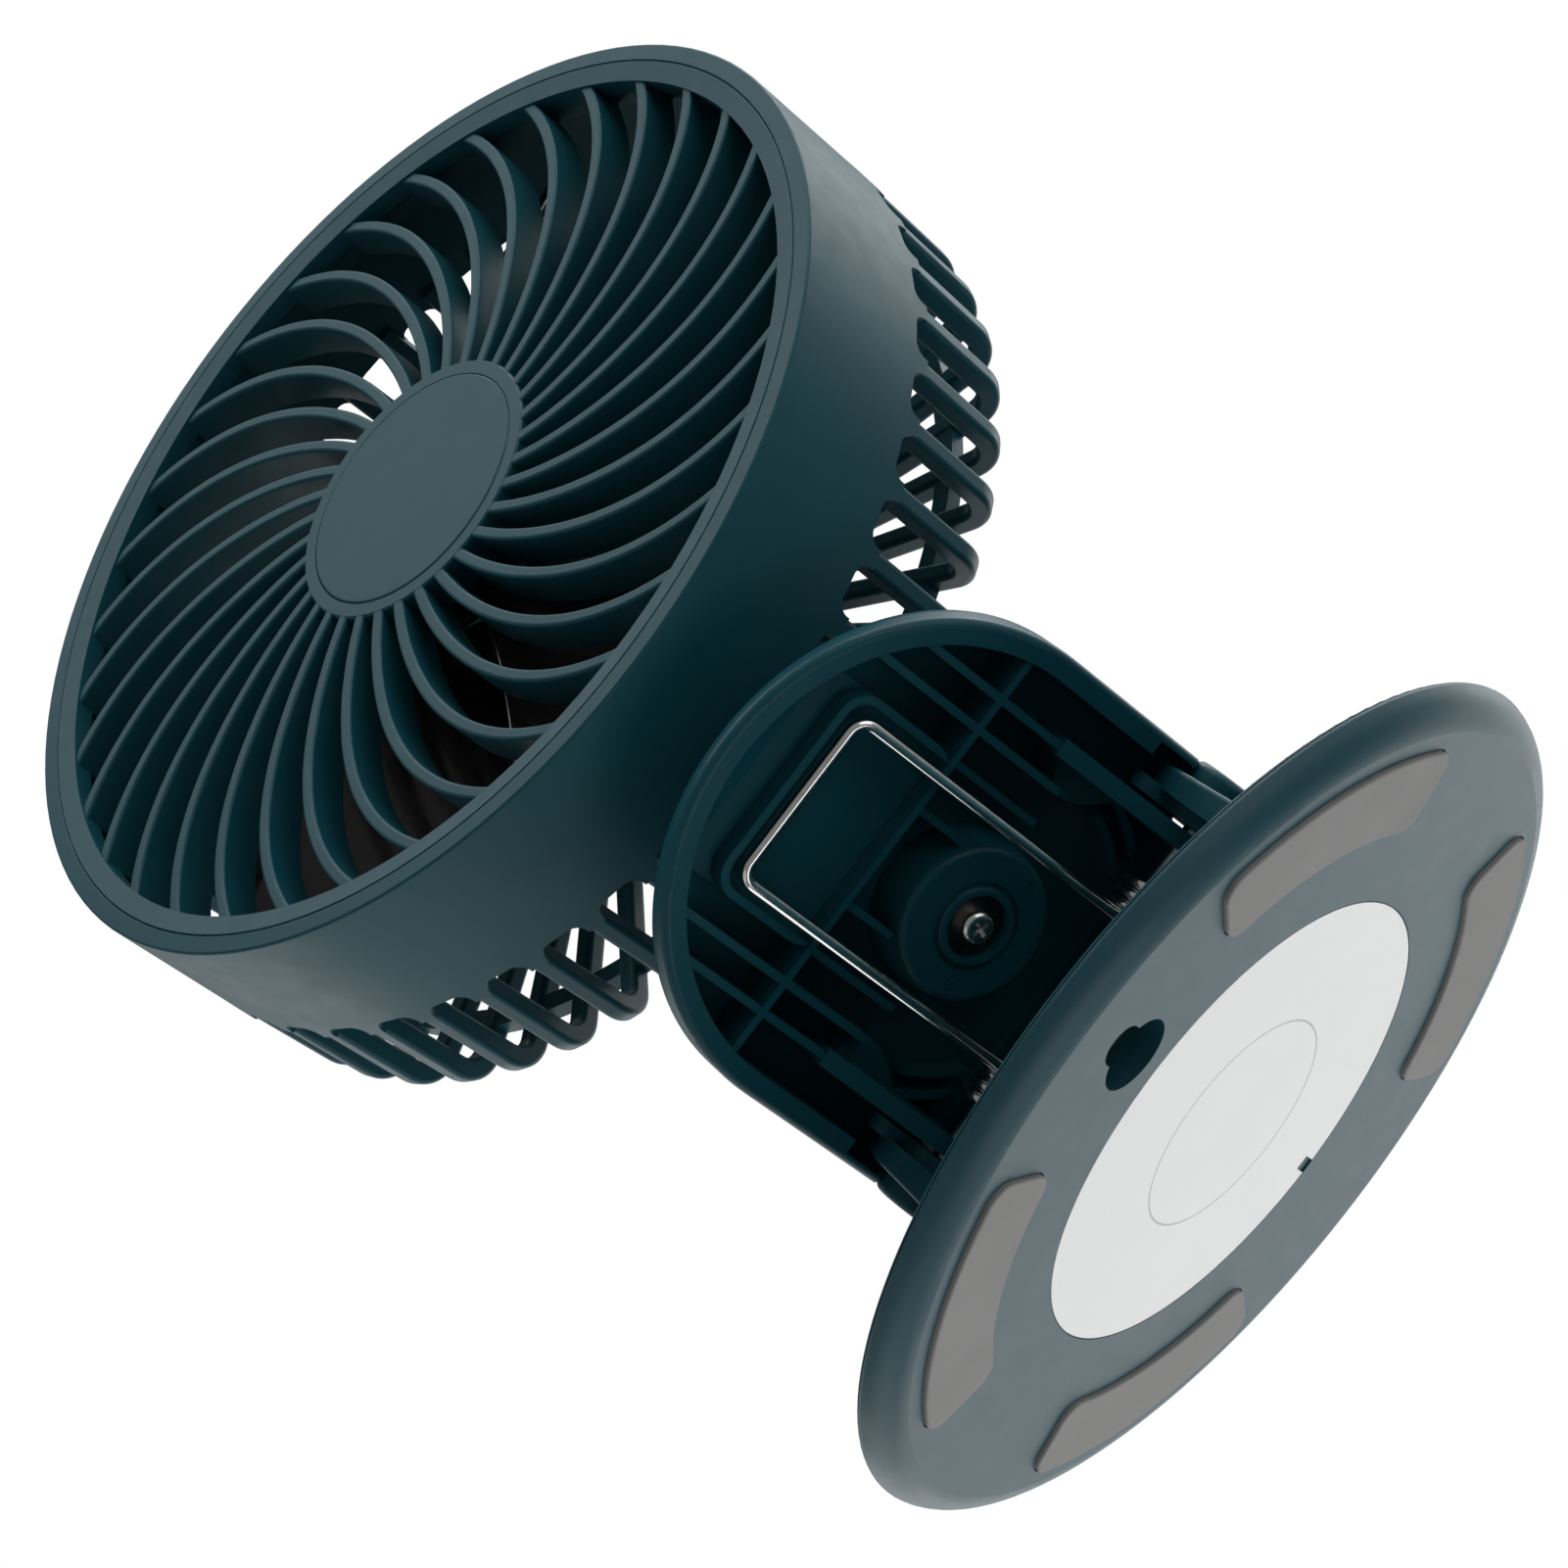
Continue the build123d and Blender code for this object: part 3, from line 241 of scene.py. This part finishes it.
LOOK = {
    "base_lower_shell": under, "base_upper_shell": teal, "foot_pads": rubber, "underside_label": label, "base_screws": steel,
    "battery_cell": foil, "control_board": board, "usb_socket": steel, "tact_switch": black, "indicator_lenses": lens,
    "power_button": teal, "jaw_pad_lower": rubber, "hinge_pin": pin_steel, "hinge_caps": teal, "clip_lever": teal_in,
    "jaw_pad_upper": rubber, "torsion_spring": chrome, "neck_fork": teal, "swivel_washer": dark_steel, "swivel_screw": steel,
    "tilt_bolt": teal, "tilt_nut": teal, "fan_housing": teal, "front_grille": teal, "grille_cap": teal, "impeller": blade,
    "motor_shaft": pin_steel, "motor_can": can, "motor_bushes": bronze, "motor_screws": steel, "rear_cover": teal,
    "cover_screws": steel, "tilt_arm": teal, "arm_screws": steel,
}
for name, ob in NODES.items():
    ob.data.materials.clear()
    ob.data.materials.append(LOOK[name])

# ------------------------------------------------------------ wire spring


def tube(name, path, radius, mat, sides=20):
    """Round wire along a list of points, with closed ends."""
    verts, faces = [], []
    pts = [Vector(p) for p in path]
    tang = []
    for i in range(len(pts)):
        a, b2 = pts[max(i - 1, 0)], pts[min(i + 1, len(pts) - 1)]
        tang.append((b2 - a).normalized())
    up = Vector((1, 0, 0)) if abs(tang[0].x) < 0.9 else Vector((0, 1, 0))
    u = (up - tang[0] * up.dot(tang[0])).normalized()
    for i, p in enumerate(pts):
        if i:
            q = tang[i - 1].rotation_difference(tang[i])
            u = (q @ u)
            u = (u - tang[i] * u.dot(tang[i])).normalized()
        v = tang[i].cross(u)
        for k in range(sides):
            a = 2 * pi * k / sides
            verts.append(p + (u * cos(a) + v * sin(a)) * radius)
    for i in range(len(pts) - 1):
        for k in range(sides):
            k2 = (k + 1) % sides
            faces.append((i * sides + k, i * sides + k2, (i + 1) * sides + k2, (i + 1) * sides + k))
    faces.append(tuple(reversed(range(sides))))
    faces.append(tuple((len(pts) - 1) * sides + k for k in range(sides)))
    me = bpy.data.meshes.new(name)
    me.from_pydata([tuple(v) for v in verts], [], faces)
    me.update()
    for poly in me.polygons:
        poly.use_smooth = len(poly.vertices) == 4
    ends = (0, len(pts) - 1)
    for e in me.edges:                     # crisp rims, so that the flat ends don't shade the round side
        ra, rb = e.vertices[0] // sides, e.vertices[1] // sides
        e.use_edge_sharp = ra == rb and ra in ends
    ob = bpy.data.objects.new(name, me)
    bpy.context.scene.collection.objects.link(ob)
    me.materials.append(mat)
    return ob


def arc_fill(points, radius, step=0.35):
    """Corner rounded polyline sampled finely: points are Vectors in mm."""
    out = [points[0]]
    for i in range(1, len(points) - 1):
        p, a, b2 = points[i], points[i - 1], points[i + 1]
        d1, d2 = (a - p).normalized(), (b2 - p).normalized()
        half = d1.angle(d2) / 2
        r = radius[i - 1] if isinstance(radius, (list, tuple)) else radius
        cut = r / max(1e-6, tan(half))
        s, e = p + d1 * cut, p + d2 * cut
        centre = p + (d1 + d2).normalized() * (r / sin(half))
        n = max(4, int(r * (pi - 2 * half) / step))
        v0, v1 = s - centre, e - centre
        ang = v0.angle(v1)
        ax = v0.cross(v1).normalized()
        for k in range(n + 1):
            out.append(centre + Matrix.Rotation(ang * k / n, 3, ax) @ v0)
    out.append(points[-1])
    # add points on long straight runs
    dense = [out[0]]
    for q in out[1:]:
        gap = (q - dense[-1]).length
        m = max(1, int(gap / 3.0))
        base = dense[-1]
        for k in range(1, m + 1):
            dense.append(base.lerp(q, k / m))
    return dense


WIRE, COIL, SPRING_DX = 1.0, 4.0, -0.25
BAR_T, LOOP_T, LOOP_X = 41.3, 58.5, 14.35
n_leg = 1.5 - WIRE - 0.05
n_top = -COIL + (n_leg + COIL) * LOOP_T / BAR_T - 0.33    # the top of the loop springs back a little
TURNS, X_END = 3.35, 21.25


def spring_half(sgn):
    """Half of the loop, one leg, the coil and its tail, in mm in the lever's axes and then the row frame."""
    loop = [Vector((0.0, -LOOP_T, n_top)), Vector((sgn * LOOP_X, -LOOP_T, n_top)), Vector((sgn * LOOP_X, 0.0, -COIL))]
    run = arc_fill(loop, 2.6)
    # coil: goes on from the leg at the side nearest the base
    a0 = -pi / 2
    slope = 2 * pi * TURNS
    pts = run[:-1]
    end_ang = None
    steps = int(TURNS * 40)
    for k in range(steps + 1):
        f = k / steps
        ang = a0 + slope * f                      # angle in the (-t, n) plane, starting at n = -COIL moving towards -t
        x = sgn * (LOOP_X + (X_END - LOOP_X) * f)
        pts.append(Vector((x, COIL * cos(ang), COIL * sin(ang))))
    row = [Vector((p.x + SPRING_DX, HY + p.y * cos(ALPHA) + p.z * sin(ALPHA), HZ - p.y * sin(ALPHA) + p.z * cos(ALPHA))) for p in pts]
    last = row[-1]
    d = (row[-1] - row[-2])
    d.x = 0
    d.normalize()
    foot = Vector((sgn * X_END + SPRING_DX, -20.0, 13.6 + LIFT + 0.8 + WIRE))
    tip = Vector((sgn * X_END + SPRING_DX, -23.5, foot.z - 0.05))
    p1 = last + d * 2.6
    tail = arc_fill([last, p1, foot, tip], [2.2, 2.2])
    return [v * MM for v in row + tail[1:]]


for sgn, nm in ((1, "spring_wire_right"), (-1, "spring_wire_left")):
    half = tube(nm, spring_half(sgn), WIRE * MM, chrome)
    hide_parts("torsion_spring")
    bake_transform(half)

# ------------------------------------------------------------ floor, world, light
bpy.ops.mesh.primitive_plane_add(size=6.0, location=(0, 0, -0.0002))
floor = bpy.context.object
floor.name = "studio_floor"
fm = bpy.data.materials.new("floor_pale")
fm.use_nodes = True
nt = fm.node_tree
nt.nodes.clear()
out = nt.nodes.new("ShaderNodeOutputMaterial")
df = nt.nodes.new("ShaderNodeBsdfDiffuse")
df.inputs["Color"].default_value = (0.86, 0.86, 0.86, 1)
tr = nt.nodes.new("ShaderNodeBsdfTransparent")
mx = nt.nodes.new("ShaderNodeMixShader")
ge = nt.nodes.new("ShaderNodeNewGeometry")
# an even pale tone far from the lamps, with the soft shadow kept near the object
em = nt.nodes.new("ShaderNodeEmission")
em.inputs["Color"].default_value = (0.90, 0.90, 0.90, 1)
em.inputs["Strength"].default_value = 1.0
half_lit = nt.nodes.new("ShaderNodeMixShader")
half_lit.inputs[0].default_value = 0.62
nt.links.new(df.outputs[0], half_lit.inputs[1])
nt.links.new(em.outputs[0], half_lit.inputs[2])
nt.links.new(ge.outputs["Backfacing"], mx.inputs[0])
nt.links.new(half_lit.outputs[0], mx.inputs[1])
nt.links.new(tr.outputs[0], mx.inputs[2])
nt.links.new(mx.outputs[0], out.inputs["Surface"])
floor.data.materials.append(fm)
floor.visible_diffuse = False
floor.visible_glossy = False
floor.visible_transmission = False
floor.visible_shadow = False
floor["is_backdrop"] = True

scene = bpy.context.scene
world = bpy.data.worlds.new("studio")
scene.world = world
world.use_nodes = True
nt = world.node_tree
nt.nodes.clear()
wo = nt.nodes.new("ShaderNodeOutputWorld")
lp = nt.nodes.new("ShaderNodeLightPath")
bg1 = nt.nodes.new("ShaderNodeBackground")
bg1.inputs["Color"].default_value = (1.0, 1.0, 1.0, 1)
bg1.inputs["Strength"].default_value = 0.206
bg2 = nt.nodes.new("ShaderNodeBackground")
bg2.inputs["Color"].default_value = (1, 1, 1, 1)
bg2.inputs["Strength"].default_value = 1.0
mw = nt.nodes.new("ShaderNodeMixShader")
nt.links.new(lp.outputs["Is Camera Ray"], mw.inputs[0])
nt.links.new(bg1.outputs[0], mw.inputs[1])
nt.links.new(bg2.outputs[0], mw.inputs[2])
nt.links.new(mw.outputs[0], wo.inputs["Surface"])
scene.view_settings.view_transform = "Standard"

# camera, worked out from the photograph
R0 = Vector((0.607309, 0.359971, -0.708235))
R1 = Vector((-0.79426, 0.25478, -0.551578))
R2 = Vector((-0.018108, 0.897501, 0.440641))
T = Vector((66.6738, 50.3151, 697.3793))
pos = -(R0 * T.x + R1 * T.y + R2 * T.z)
pos.z += LIFT
cam = bpy.data.cameras.new("camera")
co_ = bpy.data.objects.new("camera", cam)
scene.collection.objects.link(co_)
rot = Matrix((R0, -R1, -R2)).transposed()
co_.matrix_world = Matrix.Translation(pos * MM) @ rot.to_4x4()
cam.sensor_width = 36.0
cam.lens = 4800.0 / 1601.0 * 36.0
cam.clip_start = 0.02
cam.clip_end = 50.0
scene.camera = co_
UPV, RIGHT, FWD = -R1, R0, R2
MIDP = Vector((0, -0.02, 0.11))


def area(name, direction, dist, size, power, color=(1, 1, 1)):
    """Soft light aimed at the object, placed by a direction in the row frame."""
    d = direction.normalized()
    li = bpy.data.lights.new(name, "AREA")
    li.shape = "DISK"
    li.size = size
    li.energy = power
    li.color = color
    ob = bpy.data.objects.new(name, li)
    scene.collection.objects.link(ob)
    ob.location = MIDP + d * dist
    ob.rotation_euler = d.to_track_quat("Z", "Y").to_euler()
    return ob


# directions seen from the camera: u to the right, v up, w back towards it
def cam_dir(u, v, w):
    return RIGHT * u + UPV * v - FWD * w


# ring of soft panels: direction seen from the camera and power in watts
H2 = sqrt(0.5)
PANELS = [
    ("top_right", H2, H2, 0.0, 1.32), ("top", 0.0, 1.0, 0.0, 6.15), ("top_left", -H2, H2, 0.0, 5.99), ("low_left", -H2, -H2, 0.0, 0.84),
    ("low", 0.0, -1.0, 0.0, 2.58), ("low_right", H2, -H2, 0.0, 1.80),
    ("front_top_right", 0.566, 0.566, 0.6, 2.53), ("front_low_left", -0.566, -0.566, 0.6, 0.61), ("front_low_right", 0.566, -0.566, 0.6, 4.07),
    ("back_right", 0.75, 0.0, -0.66, 4.43), ("back_top_right", 0.53, 0.53, -0.66, 5.01), ("back_top", 0.0, 0.75, -0.66, 6.72),
    ("back_top_left", -0.53, 0.53, -0.66, 1.92), ("back_low_left", -0.53, -0.53, -0.66, 2.13), ("back_low", 0.0, -0.75, -0.66, 3.82),
    ("back_low_right", 0.53, -0.53, -0.66, 3.58),
]
for nm, u, v, w, power in PANELS:
    panel = area(nm, cam_dir(u, v, w), 1.3, 0.95, power)
    panel.visible_camera = False

{"start": plain(start_box), "end": plain(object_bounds())}
